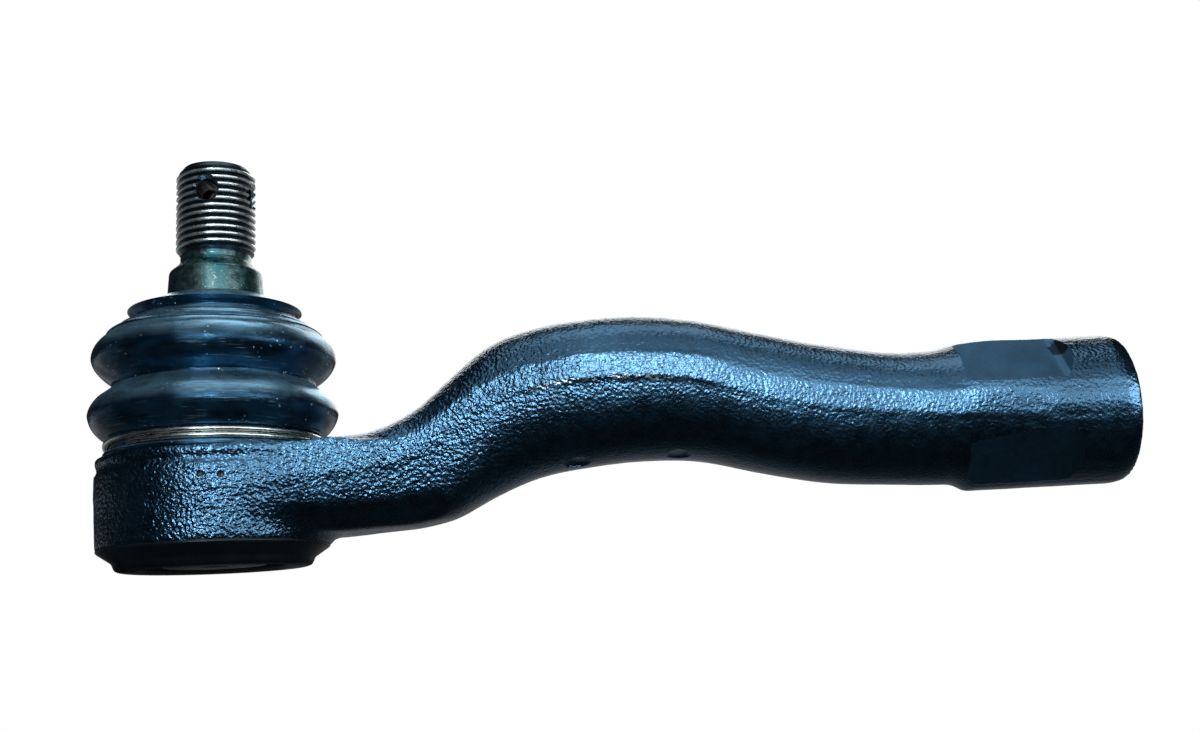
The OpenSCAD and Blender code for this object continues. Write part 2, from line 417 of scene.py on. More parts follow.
def thread_tree():
    """A geometry tree for a threaded rod along Z, with a cone at each end."""
    sizes = [
        ("Pitch", 1.5), ("Crest radius", 8.0), ("Root radius", 7.08), ("Base", 0.0), ("Top", 18.0),
        ("Base radius", 6.9), ("Base run", 1.2), ("Tip radius", 6.6), ("Tip run", 1.9),
    ]
    inputs = [(label, "NodeSocketFloat", value * MM) for label, value in sizes]
    inputs += [("Turns", "NodeSocketInt", 14), ("Rows a turn", "NodeSocketInt", 10)]
    inputs += [("Columns", "NodeSocketInt", 128), ("Material", "NodeSocketMaterial", None)]
    tree, w, given, result = node_group("Thread form", "GeometryNodeTree", inputs, [("Geometry", "NodeSocketGeometry")])
    size = given.outputs
    rows = w.times(size["Turns"], size["Rows a turn"])
    grid = w.add(
        "GeometryNodeMeshGrid",
        {
            "Size X": 1.0, "Size Y": 1.0,
            "Vertices X": w.plus(size["Columns"], 1), "Vertices Y": w.plus(rows, 1),
        },
    )
    place = w.add("ShaderNodeSeparateXYZ", {"Vector": w.add("GeometryNodeInputPosition").outputs[0]})
    around = w.plus(place.outputs["X"], 0.5)
    up = w.plus(place.outputs["Y"], 0.5)
    turn = w.minus(w.plus(w.times(up, size["Turns"]), around), 1.0)
    height = w.plus(size["Base"], w.times(turn, size["Pitch"]))
    height = w.calc("MINIMUM", w.calc("MAXIMUM", height, size["Base"]), size["Top"])
    climbed = w.minus(height, size["Base"])
    phase = w.calc("FRACT", w.plus(w.minus(w.calc("DIVIDE", climbed, size["Pitch"]), around), 1.0))
    ramp = w.one_minus(w.calc("ABSOLUTE", w.minus(w.times(phase, 2.0), 1.0)))
    form = w.add("ShaderNodeMapRange", {"Value": ramp, "From Min": 0.15, "From Max": 0.8}).outputs[0]
    depth = w.minus(size["Crest radius"], size["Root radius"])
    radius = w.plus(size["Root radius"], w.times(depth, form))

    def cone(start, run, distance):
        slope = w.calc("DIVIDE", w.minus(size["Crest radius"], size[start]), size[run])
        return w.plus(size[start], w.times(distance, slope))

    radius = w.calc("MINIMUM", radius, cone("Base radius", "Base run", climbed))
    radius = w.calc("MINIMUM", radius, cone("Tip radius", "Tip run", w.minus(size["Top"], height)))
    angle = w.times(around, TURN)
    spot = w.round_axis(radius, angle, height)
    sleeve = w.add("GeometryNodeSetPosition", {"Geometry": grid.outputs["Mesh"], "Position": spot})
    parts = [sleeve.outputs[0]]
    for radius_name, height_name in (("Base radius", "Base"), ("Tip radius", "Top")):
        disc = w.add(
            "GeometryNodeMeshCircle", {"Vertices": size["Columns"], "Radius": size[radius_name]}, fill_type="NGON"
        )
        lift = w.add("ShaderNodeCombineXYZ", {"Z": size[height_name]})
        parts.append(
            w.add("GeometryNodeTransform", {"Geometry": disc.outputs[0], "Translation": lift.outputs[0]}).outputs[0]
        )
    joined = w.add("GeometryNodeJoinGeometry")
    for part in parts:
        tree.links.new(part, joined.inputs[0])
    merged = w.add("GeometryNodeMergeByDistance", {"Geometry": joined.outputs[0], "Distance": 0.003 * MM})
    end_geometry(w, merged.outputs[0], size["Material"], result)
    return tree


def wire_ring_tree():
    """A geometry tree for a ring of flat wire that climbs one wire's height partway round."""
    sizes = [
        ("Radius", 20.95 * MM), ("Low", 8.08 * MM), ("Climb", 1.2 * MM), ("Wire width", 1.1 * MM),
        ("Wire height", 1.12 * MM), ("Corner", 0.25 * MM), ("Start", 4.12), ("Sweep", 11.4),
        ("Climb start", 5.1), ("Climb end", 6.2),
    ]
    inputs = [(label, "NodeSocketFloat", value) for label, value in sizes]
    inputs += [("Points", "NodeSocketInt", 360), ("Material", "NodeSocketMaterial", None)]
    tree, w, given, result = node_group("Wire ring", "GeometryNodeTree", inputs, [("Geometry", "NodeSocketGeometry")])
    size = given.outputs
    line = w.add("GeometryNodeCurvePrimitiveLine", mode="POINTS")
    track = w.add("GeometryNodeResampleCurve", {"Curve": line.outputs[0], "Count": size["Points"]})
    along = w.add("GeometryNodeSplineParameter").outputs["Factor"]
    swept = w.times(along, size["Sweep"])
    angle = w.plus(size["Start"], swept)
    rise = w.span(swept, size["Climb start"], size["Climb end"])
    spot = w.round_axis(size["Radius"], angle, w.plus(size["Low"], w.times(rise, size["Climb"])))
    bent = w.add("GeometryNodeSetPosition", {"Geometry": track.outputs[0], "Position": spot})
    upright = w.add("GeometryNodeSetCurveNormal", {"Curve": bent.outputs[0]}, mode="Z_UP")
    section = w.add(
        "GeometryNodeCurvePrimitiveQuadrilateral", {"Width": size["Wire width"], "Height": size["Wire height"]}
    )
    soft = w.add(
        "GeometryNodeFilletCurve",
        {"Curve": section.outputs[0], "Radius": size["Corner"], "Count": 3, "Limit Radius": True},
        mode="POLY",
    )
    wire = w.add(
        "GeometryNodeCurveToMesh",
        {"Curve": upright.outputs[0], "Profile Curve": soft.outputs[0], "Fill Caps": True},
    )
    end_geometry(w, wire.outputs[0], size["Material"], result)
    return tree


# ---- Shader groups ----


def forged_skin_group():
    """Height and wear of a forged surface under paint: pebbled grain, soft waves and scattered pits."""
    inputs = [
        ("Vector", "NodeSocketVector", None), ("Grain size", "NodeSocketFloat", 0.0011),
        ("Depth", "NodeSocketFloat", 1.0),
    ]
    outputs = [("Height", "NodeSocketFloat"), ("Worn", "NodeSocketFloat")]
    tree, w, given, result = node_group("Forged skin", "ShaderNodeTree", inputs, outputs)
    where = given.outputs["Vector"]
    scale = w.calc("DIVIDE", 1.0, given.outputs["Grain size"])
    pebble = w.grain(where, scale, 1.2, 0.45)
    pocks = w.grain(where, w.times(scale, 0.4), 1.0, 0.5)
    cells = w.add("ShaderNodeTexVoronoi", {"Vector": where, "Scale": w.times(scale, 0.8)}).outputs[0]
    height = w.plus(w.times(pebble, 0.9), w.times(pocks, 0.18))
    height = w.minus(height, w.times(w.span(cells, 0.0, 0.6), 0.15))
    w.feed(result.inputs["Height"], w.times(height, given.outputs["Depth"]))
    w.feed(result.inputs["Worn"], w.span(w.grain(where, 2600.0, 1.0), 0.74, 0.8))
    return tree


def dust_group():
    """Specks of dust, fine hoop scratches and a pale film in patches."""
    inputs = [("Vector", "NodeSocketVector", None), ("Amount", "NodeSocketFloat", 1.0)]
    outputs = [("Specks", "NodeSocketFloat"), ("Scratches", "NodeSocketFloat"), ("Film", "NodeSocketFloat")]
    tree, w, given, result = node_group("Dust and scuffs", "ShaderNodeTree", inputs, outputs)
    where, amount = given.outputs["Vector"], given.outputs["Amount"]
    cells = w.add("ShaderNodeTexVoronoi", {"Vector": where, "Scale": 900.0, "Randomness": 1.0}).outputs["Distance"]
    rare = w.span(w.grain(where, 330.0, 1.0), 0.52, 0.6)
    specks = w.times(w.one_minus(w.span(cells, 0.1, 0.2)), rare)
    streaks = w.grain(where, 120.0, 3.0, 0.6, stretch=(1, 1, 26))
    patches = w.span(w.grain(where, 110.0, 3.0, 0.6), 0.46, 0.66)
    scratches = w.times(w.span(streaks, 0.56, 0.66), patches)
    w.feed(result.inputs["Specks"], w.times(specks, amount))
    w.feed(result.inputs["Scratches"], w.times(scratches, amount))
    w.feed(result.inputs["Film"], w.times(patches, amount))
    return tree


def turning_group():
    """Fine rings that a lathe leaves round an axis, with a little unevenness."""
    inputs = [
        ("Vector", "NodeSocketVector", None), ("Spacing", "NodeSocketFloat", 0.0003),
        ("Waver", "NodeSocketFloat", 0.15),
    ]
    tree, w, given, result = node_group("Turning marks", "ShaderNodeTree", inputs, [("Height", "NodeSocketFloat")])
    parts = w.parts(given.outputs["Vector"])
    out = w.from_axis(parts["X"], parts["Y"])
    travel = w.calc("DIVIDE", w.plus(parts["Z"], out), given.outputs["Spacing"])
    uneven = w.times(w.grain(given.outputs["Vector"], 300.0), w.times(given.outputs["Waver"], 20.0))
    rings = w.calc("SINE", w.times(w.plus(travel, uneven), TURN))
    w.feed(result.inputs["Height"], w.times(w.plus(rings, 1.0), 0.5))
    return tree


# ---- Materials ----


class Finish(Wiring):
    """The wiring of a material in the making, with its shader and object coordinates."""

    def __init__(self, name, roughness, metallic, **fixed):
        self.material = bpy.data.materials.new(name)
        self.material.use_nodes = True
        super().__init__(self.material.node_tree)
        self.shader = self.tree.nodes["Principled BSDF"]
        self.where = self.add("ShaderNodeTexCoord").outputs["Object"]
        self.shader.inputs["Roughness"].default_value = roughness
        self.shader.inputs["Metallic"].default_value = metallic
        for label, value in fixed.items():
            self.shader.inputs[label.replace("_", " ")].default_value = value

    def group(self, tree, **values):
        made = self.add("ShaderNodeGroup", node_tree=tree)
        self.feed(made.inputs["Vector"], self.where)
        for label, value in values.items():
            made.inputs[label.replace("_", " ")].default_value = value
        return made.outputs

    def bump(self, height, strength, distance):
        inputs = {"Height": height, "Strength": strength, "Distance": distance}
        made = self.add("ShaderNodeBump", inputs)
        self.feed(self.shader.inputs["Normal"], made.outputs[0])
        self.feed(self.shader.inputs["Coat Normal"], made.outputs[0])

    def set(self, label, value):
        self.feed(self.shader.inputs[label], value)


def rgba(colour, factor=1.0):
    return (*[c * factor for c in colour], 1.0)


def make_finishes(body, stud, boot):
    """Makes every material of the part."""
    skin, dust, rings = forged_skin_group(), dust_group(), turning_group()

    f = Finish("forged_paint", 0.26, 1.0, Coat_Weight=0.4, Coat_Roughness=0.16)
    worn = f.group(skin, Grain_size=0.00066, Depth=1.0)
    tone = f.grain(f.where, 60.0, 4.0, 0.6)
    colour = f.mix(f.span(tone, 0.35, 0.65), rgba(body.paint, 0.85), rgba(body.paint, 1.15))
    colour = f.mix(worn["Worn"], colour, (0.34, 0.4, 0.44, 1))
    parts = f.parts(f.where)
    # Painted highlight: a silver line along the lower edge of the parting band at the hump, where the edge catches the
    # light; partly a worn flash burr.
    past_hump = f.minus(parts["X"], HUMP_MIDDLE)
    ridge = f.minus(0.0161, f.times(6.0, f.times(past_hump, past_hump)))
    off_ridge = f.calc("ABSOLUTE", f.minus(parts["Z"], ridge))
    burr_and_highlight = f.one_minus(f.span(off_ridge, 0.0001, 0.0005))
    burr_and_highlight = f.times(burr_and_highlight, f.one_minus(f.span(f.calc("ABSOLUTE", past_hump), 0.008, 0.018)))
    burr_and_highlight = f.times(burr_and_highlight, f.span(f.grain(f.where, 1100.0, 1.0), 0.42, 0.58))
    f.set("Base Color", f.mix(burr_and_highlight, colour, HIGHLIGHT_SILVER))
    f.set("Roughness", f.span(f.grain(f.where, 420.0, 3.0), 0.3, 0.7, 0.24, 0.31))
    calmer = f.span(parts["X"], 0.03, 0.1, body.grain_strength, 0.45 * body.grain_strength)
    f.bump(worn["Height"], calmer, 0.0003)

    f = Finish("machined_paint", 0.34, 0.98, Coat_Weight=0.08, Coat_Roughness=0.3)
    worn = f.group(skin, Grain_size=0.0016, Depth=0.25)
    tone = f.grain(f.where, 140.0, 3.0)
    colour = f.mix(f.span(tone, 0.3, 0.7), rgba(body.paint, 0.8), rgba(body.paint, 1.05))
    # Painted shade: a ragged near-black patch on the upper front flat's run-out step, which faces away from the light.
    runout_distance = f.add("ShaderNodeVectorMath", {0: f.where, 1: RUNOUT_SHADE_PLACE}, operation="DISTANCE").outputs["Value"]
    ragged = f.plus(runout_distance, f.times(f.grain(f.where, 600.0, 3.0), 0.0035))
    runout_shade = f.one_minus(f.span(ragged, 0.0038, 0.0046))
    f.set("Base Color", f.mix(runout_shade, colour, rgba(body.paint, 0.12)))
    f.set("Roughness", f.span(f.grain(f.where, 900.0), 0.3, 0.7, 0.36, 0.46))
    f.bump(worn["Height"], 0.35, 0.0001)

    f = Finish("socket_steel", 0.32, 1.0)
    marks = f.group(rings, Spacing=0.0004)
    f.set("Base Color", f.mix(f.grain(f.where, 300.0), (0.22, 0.23, 0.23, 1), (0.36, 0.36, 0.34, 1)))
    f.bump(marks["Height"], 0.1, 0.00002)

    f = Finish("turned_black", 0.3, 0.6)
    marks = f.group(rings, Spacing=0.00045, Waver=0.05)
    tone = f.grain(f.where, 200.0, 3.0)
    f.set("Base Color", f.mix(tone, (0.006, 0.011, 0.016, 1), (0.016, 0.028, 0.038, 1)))
    f.set("Roughness", f.span(tone, 0.3, 0.7, 0.24, 0.38))
    f.bump(marks["Height"], 0.15, 0.00003)

    f = Finish("stud_phosphate", 0.3, 0.95)
    marks = f.group(rings, Spacing=0.0005, Waver=0.3)
    mottle = f.span(f.grain(f.where, 150.0, 3.0, 0.55, stretch=(1, 1, 0.35)), 0.36, 0.72)
    colour = f.mix(mottle, rgba(stud.steel), rgba(stud.bronze))
    dots = f.span(f.grain(f.where, 1900.0, 2.0), 0.62, 0.7)
    colour = f.mix(dots, colour, (0.4, 0.46, 0.42, 1))
    parts = f.parts(f.where)
    out = f.from_axis(parts["X"], parts["Y"])
    # Painted highlight and shade on the thread: crests silver, roots dark.
    thread_highlight_and_shade = f.mix(f.span(out, 0.00755, 0.0078), (0.045, 0.075, 0.095, 1), HIGHLIGHT_SILVER)
    f.set("Base Color", f.mix(f.span(parts["Z"], stud.thread_base - 0.001, stud.thread_base), colour, thread_highlight_and_shade))
    f.set("Roughness", f.span(f.grain(f.where, 700.0, 2.0), 0.3, 0.7, 0.22, 0.4))
    grit = f.plus(f.times(marks["Height"], 0.3), f.grain(f.where, 2200.0, 2.0))
    f.bump(grit, 0.25, 0.00006)

    f = Finish("stud_drilled", 0.25, 0.95)
    parts = f.parts(f.where)
    out = f.from_axis(parts["X"], parts["Y"])
    tone = f.grain(f.where, 500.0, 3.0)
    colour = f.mix(tone, (0.14, 0.26, 0.36, 1), (0.34, 0.5, 0.6, 1))
    # Painted shade: near-black deeper inside the pin holes. The brighter blue-grey at the mouths is partly bare drilled
    # steel and partly a painted highlight.
    f.set("Base Color", f.mix(f.span(out, 0.0066, 0.0073), (0.006, 0.01, 0.014, 1), colour))
    f.bump(tone, 0.2, 0.00005)

    f = Finish("dusty_rubber", 0.32, 0.85)
    grime = f.group(dust, Amount=boot.dust)
    tone = f.grain(f.where, 130.0, 4.0, 0.6, stretch=(1, 1, 3))
    colour = f.mix(f.span(tone, 0.3, 0.7), rgba(boot.rubber, 0.5), rgba(boot.rubber, 1.7))
    # Up-facing surfaces get a pale blue film: partly settled dust, mostly a painted sheen standing in for the top light
    # on the fold tops.
    normal = f.add("ShaderNodeTexCoord").outputs["Normal"]
    facing = f.parts(normal)["Z"]
    dust_and_sheen_on_top = f.times(f.span(facing, 0.05, 0.65), boot.dust)
    film = f.times(dust_and_sheen_on_top, f.span(tone, 0.3, 0.7, 0.35, 1.0))
    colour = f.mix(film, colour, (0.28, 0.56, 0.76, 1))
    colour = f.mix(f.times(grime["Scratches"], 0.5), colour, (0.24, 0.36, 0.44, 1))
    f.set("Base Color", f.mix(grime["Specks"], colour, (0.5, 0.56, 0.56, 1)))
    f.set("Roughness", f.span(grime["Film"], 0.0, 1.0, 0.26, 0.4))
    ripple = f.grain(f.where, 420.0, 3.0, 0.6, stretch=(1, 1, 5))
    height = f.plus(f.times(ripple, 0.7), f.times(grime["Scratches"], -0.4))
    f.bump(f.plus(height, f.times(grime["Specks"], 0.6)), 0.6, 0.00015)

    f = Finish("bright_wire", 0.16, 1.0)
    hoop = f.grain(f.where, 350.0, 2.0, 0.5, stretch=(1, 1, 12))
    f.set("Base Color", f.mix(hoop, (0.62, 0.7, 0.68, 1), (0.9, 0.92, 0.86, 1)))
    f.set("Roughness", f.span(hoop, 0.3, 0.7, 0.18, 0.32))
    f.bump(hoop, 0.15, 0.00003)

    for label, low, high, roughness, metallic in (
        ("pale_resin", (0.78, 0.76, 0.68, 1), (0.88, 0.86, 0.8, 1), 0.45, 0.0),
        ("plain_steel", (0.3, 0.31, 0.33, 1), (0.45, 0.47, 0.5, 1), 0.3, 1.0),
        ("black_rubber", (0.015, 0.015, 0.017, 1), (0.03, 0.03, 0.034, 1), 0.6, 0.0),
    ):
        f = Finish(label, roughness, metallic)
        cloud = f.grain(f.where, 420.0, 4.0, 0.6)
        f.set("Base Color", f.mix(cloud, low, high))
        f.set("Roughness", f.span(cloud, 0.3, 0.7, roughness * 0.8, roughness * 1.2))
        f.bump(cloud, 0.2, 0.00005)


def finish_named(name):
    return bpy.data.materials[name]


# ---- Forged body ----

# Along the arm: distance from the ball centre, top, bottom, width, and height of the parting line
ARM_STATIONS = [
    (12, 7.6, -10, 39, 1.1), (24, 8.8, -10.6, 31, 2.7), (33, 10, -10.2, 26.6, 3.9), (41, 13.8, -9.7, 25, 5.5),
    (48, 19.6, -8.2, 25, 10), (56, 25.8, -4.4, 25.8, 14.8), (65, 29, -1, 27, 17.5), (75, 30.3, 0.6, 28, 18.7),
    (86, 30.5, 1.3, 28, 18.6), (98, 29, 0.6, 28, 17.2), (110, 25.9, -2.4, 27.6, 13.4),
    (122, 23, -4.9, 27.2, 10.6), (134, 20.9, -6, 27.2, 9), (143, 20.4, -6.6, 28, 8), (153, 21, -6.8, 28.8, 7.4),
    (163, 21.5, -7.2, 29.5, 7), (180, 21.6, -7.6, 29.6, 6.9),
]


def step(low, high, value):
    """0 below low, 1 above high, smooth between."""
    t = np.clip((value - low) / (high - low), 0, 1)
    return t * t * (3 - 2 * t)


def smooth_join(a, b, radius):
    """The union of two distance fields with a fillet of about this radius."""
    h = np.clip(0.5 + 0.5 * (b - a) / radius, 0, 1)
    return b + (a - b) * h - radius * h * (1 - h)


def smooth_meet(a, b, radius):
    """The part common to two distance fields, its edge softened."""
    return -smooth_join(-a, -b, radius)


def arm_field(x, y, z):
    """Distance to the arm: an oval section with a proud parting band and, near the barrel, a flat belly."""
    line = flowing(ARM_STATIONS, 12)
    top, bottom, width, parting = (np.interp(x, line[:, 0], line[:, k]) for k in range(1, 5))
    half, out, up = width / 2, np.abs(y), z - parting
    height = np.where(up > 0, top - parting, parting - bottom)
    root = 1 - step(44, 60, x)
    power = 2.4 - 0.35 * step(118, 152, x) + np.where(up < 0, 2.4, -0.1) * root
    across = (out + 0.13 * root * np.maximum(-up - 2.7, 0)) / half
    rise = np.abs(up) / height
    size = (across**power + rise**power) ** (1 / power)
    slope = np.sqrt((across ** (power - 1) / half) ** 2 + (rise ** (power - 1) / height) ** 2) + 1e-4
    oval = (size - 1) * size ** (power - 1) / slope
    band_high = 2.6 + 2.0 * (1 - step(24, 36, x))
    pride = 0.1 + 0.1 * step(60, 75, x) * (1 - step(92, 108, x)) - 0.14 * step(96, 116, x)
    slab = np.maximum(out - half - pride, np.maximum(up - band_high, -up - 2.7) * 0.9)
    field = smooth_join(oval, slab, 0.35)
    corner = -6.9 + 0.045 * x + 2.4 * step(36, 52, x)
    chamfer = (out - half + 1.3) * 0.72 - (z - corner) * 0.69 - 7 * (1 - root)
    field = smooth_meet(field, chamfer, 0.35)
    belly = bottom + 0.25 - z - 3 * (1 - root)
    field = smooth_meet(field, belly, 0.4)
    return smooth_meet(field, np.maximum(4 - x, x - 176), 0.5)


def barrel_field(x, y, z):
    """Distance to the barrel, with its shoulder under the boot and a faint parting band."""
    out = np.hypot(x, y)
    radius = BARREL_RADIUS - 0.5 * step(2.6, 3.2, z) + 0.4 * step(4.3, 4.8, z) - 0.12 * (1 - step(-2.6, -2.0, z))
    radius = radius - 0.03 * np.maximum(-2.3 - z, 0)
    side = out - radius
    return smooth_meet(side, np.maximum(z - BOOT_SEAT, -11.9 - z), 0.9)


def boss_field(x, y, z, body):
    """Distance to the round end that holds the socket."""
    middle = body.socket_height / MM
    flare = 1.3 * (1 - step(148, 168, x)) * step(middle - 11, middle - 6, z)
    side = np.hypot(y, z - middle) - body.boss_diameter / MM / 2 + flare
    edge = body.end_rounding / MM
    past = x - body.arm_length / MM + edge
    rounded_end = np.hypot(np.maximum(side + edge, 0), np.maximum(past, 0)) - edge
    inside = np.minimum(np.maximum(side, past - edge), 0)
    return smooth_meet(rounded_end + inside, 0.85 * side + 0.5 * (150.6 - x), 0.3)


def forged_blank(body, materials):
    """The forging before any machining, meshed from its distance field."""
    cell = body.mesh_cell / MM
    end = body.arm_length / MM
    low = np.array(FORGING_LOW)
    count = np.ceil((np.array([end + 2.0, FORGING_SIDE, FORGING_TOP]) - low) / cell).astype(int)
    x, y, z = (low[k] + cell * np.arange(count[k]) for k in range(3))
    x, y, z = x[:, None, None], y[None, :, None], z[None, None, :]
    arm = arm_field(x, y, z)
    field = smooth_join(arm, barrel_field(x, y, z) + 0 * arm, 2.6)
    fillet = 0.7 + 3.0 * step(body.socket_height / MM - 2, body.socket_height / MM + 8, z)
    fillet = 0.03 + fillet * (1 - step(154, 169, x))
    field = smooth_join(field, boss_field(x, y, z, body) + 0 * arm, fillet)
    grid = openvdb.FloatGrid(100.0)
    grid.copyFromArray(np.clip(field, -4 * cell, 4 * cell).astype(np.float32))
    points, quads = grid.convertToQuads(isovalue=0)
    blank = new_piece("forged_arm", points * cell + low, quads.tolist(), materials)
    clean_up(blank, 0.0001)
    return roughen(blank, FORGED_RIPPLE)


def flat_cutter(angle, body, materials):
    """A block that mills one wrench flat, with a sloping run-out towards the end of the arm."""
    depth = body.flats / MM / 2
    track = [
        (FLATS_FROM, depth), (168.2, depth), (169.4, depth + 0.25), (FLATS_TO, depth + 1.9), (FLATS_TO, 20),
        (FLATS_FROM, 20),
    ]
    wide = 14.0
    points = [(x, side * wide, out) for side in (-1, 1) for x, out in track]
    n = len(track)
    faces = [list(range(n)), list(range(2 * n - 1, n - 1, -1))]
    faces += [[k, k + n, (k + 1) % n + n, (k + 1) % n] for k in range(n)]
    cutter = clean_up(new_piece("flat_cutter", points, faces, materials, 1))
    turn = Matrix.Rotation(math.radians(angle), 4, "X")
    return set_place(cutter, Matrix.Translation((0, 0, body.socket_height)) @ turn)


def along_socket(body):
    """Carries a tool made along Z to the socket's axis, pointing out of the end of the arm."""
    return Matrix.Translation((0, 0, body.socket_height)) @ Matrix.Rotation(math.radians(90), 4, "Y")


def build_forged_body(body, thread):
    paint, milled = finish_named("forged_paint"), finish_named("machined_paint")
    materials = [paint, milled, finish_named("turned_black"), finish_named("socket_steel")]
    arm = forged_blank(body, materials)
    foot = [
        (0, -11, 0), (22.3, -11, 0), (22.55, -11.9, 0.3), (22.3, -12.2, 0.3), (19.5, -14.1, 0.4), (19.2, -14.9, 0.3),
        (18.9, -15.5, 0.35), (18.1, -15.8, 0.35), (0, -15.8, 0),
    ]
    carve(arm, turned("foot", rounded(foot), materials, 2), "UNION")
    seat = [(0, BOOT_SEAT, 0), (22.55, BOOT_SEAT, 0), (22.55, 30, 0), (0, 30, 0)]
    carve(arm, turned("seat_cutter", rounded(seat), materials, 1))
    neck = [
        (0, 4, 0), (19, 4, 0), (19, 9.2, 0.1), (19.8, 9.6, 0.2), (19.8, 10.8, 0.3), (19.4, RIM_TOP, 0.3),
        (0, RIM_TOP, 0),
    ]
    carve(arm, turned("neck", rounded(neck), materials, 1), "UNION")
    bore = [
        (0, -17, 0), (15.3, -17, 0), (15.3, -15.7, 0.1), (14.8, -15.3, 0.2), (14.8, -14.4, 0), (COVER_RADIUS, -14.4, 0),
        (COVER_RADIUS, -12, 0), (BORE_RADIUS, -12, 0), (BORE_RADIUS, 7, 0), (12.5, 7, 0), (13.9, RIM_TOP, 0),
        (14.2, 12.2, 0), (0, 12.2, 0),
    ]
    carve(arm, turned("bore_cutter", rounded(bore), materials, 2))
    for angle in FLAT_TURNS:
        carve(arm, flat_cutter(angle, body, materials))
    end, radius, depth = body.arm_length / MM, body.socket_diameter / MM / 2, body.socket_depth / MM
    drill = [(0, end - depth - 5.4, 0), (radius, end - depth, 0), (radius, end - 1.3, 0), (radius + 1.3, end, 0),
             (radius + 2.3, end + 1, 0), (0, end + 1, 0)]
    carve(arm, set_place(turned("drill", rounded(drill), materials, 3, 144), along_socket(body)))
    sizes = {
        "Pitch": body.socket_pitch, "Crest radius": radius * MM + 0.0008, "Root radius": radius * MM - 0.00005,
        "Base": (end - depth + 3) * MM, "Top": (end + 1.2) * MM, "Base radius": radius * MM - 0.0002,
        "Base run": 0.003, "Tip radius": radius * MM - 0.0002, "Tip run": 0.0008,
        "Turns": int(depth * MM / body.socket_pitch) + 2, "Rows a turn": 6, "Columns": 64, "Material": materials[3],
    }
    tap = clean_up(grow("tap", thread, sizes))
    tap.data.materials.clear()
    for m in materials:
        tap.data.materials.append(m)
    tap.data.polygons.foreach_set("material_index", [3] * len(tap.data.polygons))
    carve(arm, set_place(tap, along_socket(body)))
    for x, z in PUNCH_SPOTS:
        y = -math.sqrt(BARREL_RADIUS**2 - x * x)
        dot = [(0, -0.8, 0), (0.5, -0.7, 0), (0.75, 0.3, 0), (0, 0.3, 0)]
        outwards = Vector((x, y, 0)).to_track_quat("Z", "Y").to_matrix().to_4x4()
        place = Matrix.Translation(Vector((x, y, z)) * MM) @ outwards
        carve(arm, set_place(turned("punch", rounded(dot), materials, 2, 12), place))
    for x, z in RIDGE_DENTS:
        dent = [(0, -2, 0), (2.6, -2, 0), (2.5, 0.1, 0.3), (2.0, 0.45, 0.3), (0, 0.5, 0)]
        place = Matrix.Translation((x * MM, -0.0045, (z + 0.35) * MM)) @ Matrix.Rotation(math.radians(-12), 4, "X")
        carve(arm, set_place(turned("dent", rounded(dent), materials, 0, 32), place))
    split_finishes(shade(arm, 32))
    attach(arm, "housing")
    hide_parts("forged_body")
    return arm


# ---- Ball stud ----


def build_ball_stud(stud, thread):
    steel = [finish_named("stud_phosphate"), finish_named("stud_drilled")]
    ball = stud.ball_diameter / MM / 2
    flat = -ball + 0.8
    start = math.acos(flat / ball)
    neck = stud.neck_diameter / MM / 2
    sphere = [
        (ball * math.sin(a), ball * math.cos(a)) for a in np.linspace(start, math.asin(neck / ball), 48)
    ]
    base = stud.thread_base / MM
    large = TAPER_SMALL + (TAPER_TOP - 27) * TAPER_RATE
    shank = rounded([
        (neck, 12.0, 1), (neck, 15.5, 1.5), (neck + 0.7, 18, 1.5), (large - 0.7, 25, 1.5), (large, 27, 1),
        (TAPER_SMALL, TAPER_TOP, 0.45), (TAPER_SMALL - 1.1, TAPER_TOP + 1, 0.6), (7.1, TAPER_TOP + 2.1, 0.8),
        (7.1, base - 0.2, 0.1), (6.4, base + 0.7, 0), (0, base + 0.7, 0), (0, flat, 0),
    ])
    body = turned("ball_stud_steel", [(0, flat), *sphere, *shank[6:-1]], steel)
    sizes = {
        "Pitch": stud.thread_pitch, "Crest radius": stud.thread_diameter / 2, "Root radius": 0.00708,
        "Base": stud.thread_base - 0.0004, "Top": stud.top, "Base radius": 0.0069, "Base run": 0.0013,
        "Tip radius": 0.0066, "Tip run": 0.0019,
        "Turns": int((stud.top - stud.thread_base) / stud.thread_pitch) + 3, "Rows a turn": 10, "Columns": 144,
        "Material": steel[0],
    }
    carve(body, clean_up(grow("stud_thread", thread, sizes)), "UNION")
    hole = stud.pin_hole_diameter / MM / 2
    reach = stud.thread_diameter / MM / 2
    drill = [
        (0, -12, 0), (4.4, -12, 0), (4.4, -reach - 1.2, 0), (hole, -reach + 0.9, 0.2), (hole, reach - 0.9, 0.2),
        (4.4, reach + 1.2, 0), (4.4, 12, 0), (0, 12, 0),
    ]
    for angle in (0, 90):
        turn = Matrix.Rotation(math.radians(angle), 4, "Z") @ Matrix.Rotation(math.radians(90), 4, "X")
        place = Matrix.Translation((0, 0, stud.pin_hole_height)) @ turn
        carve(body, set_place(turned("pin_drill", rounded(drill), steel, 1, 64), place))
    split_finishes(shade(body, 30))
    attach(body, "stud")
    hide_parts("ball_stud")
    return body


# ---- Dust boot ----

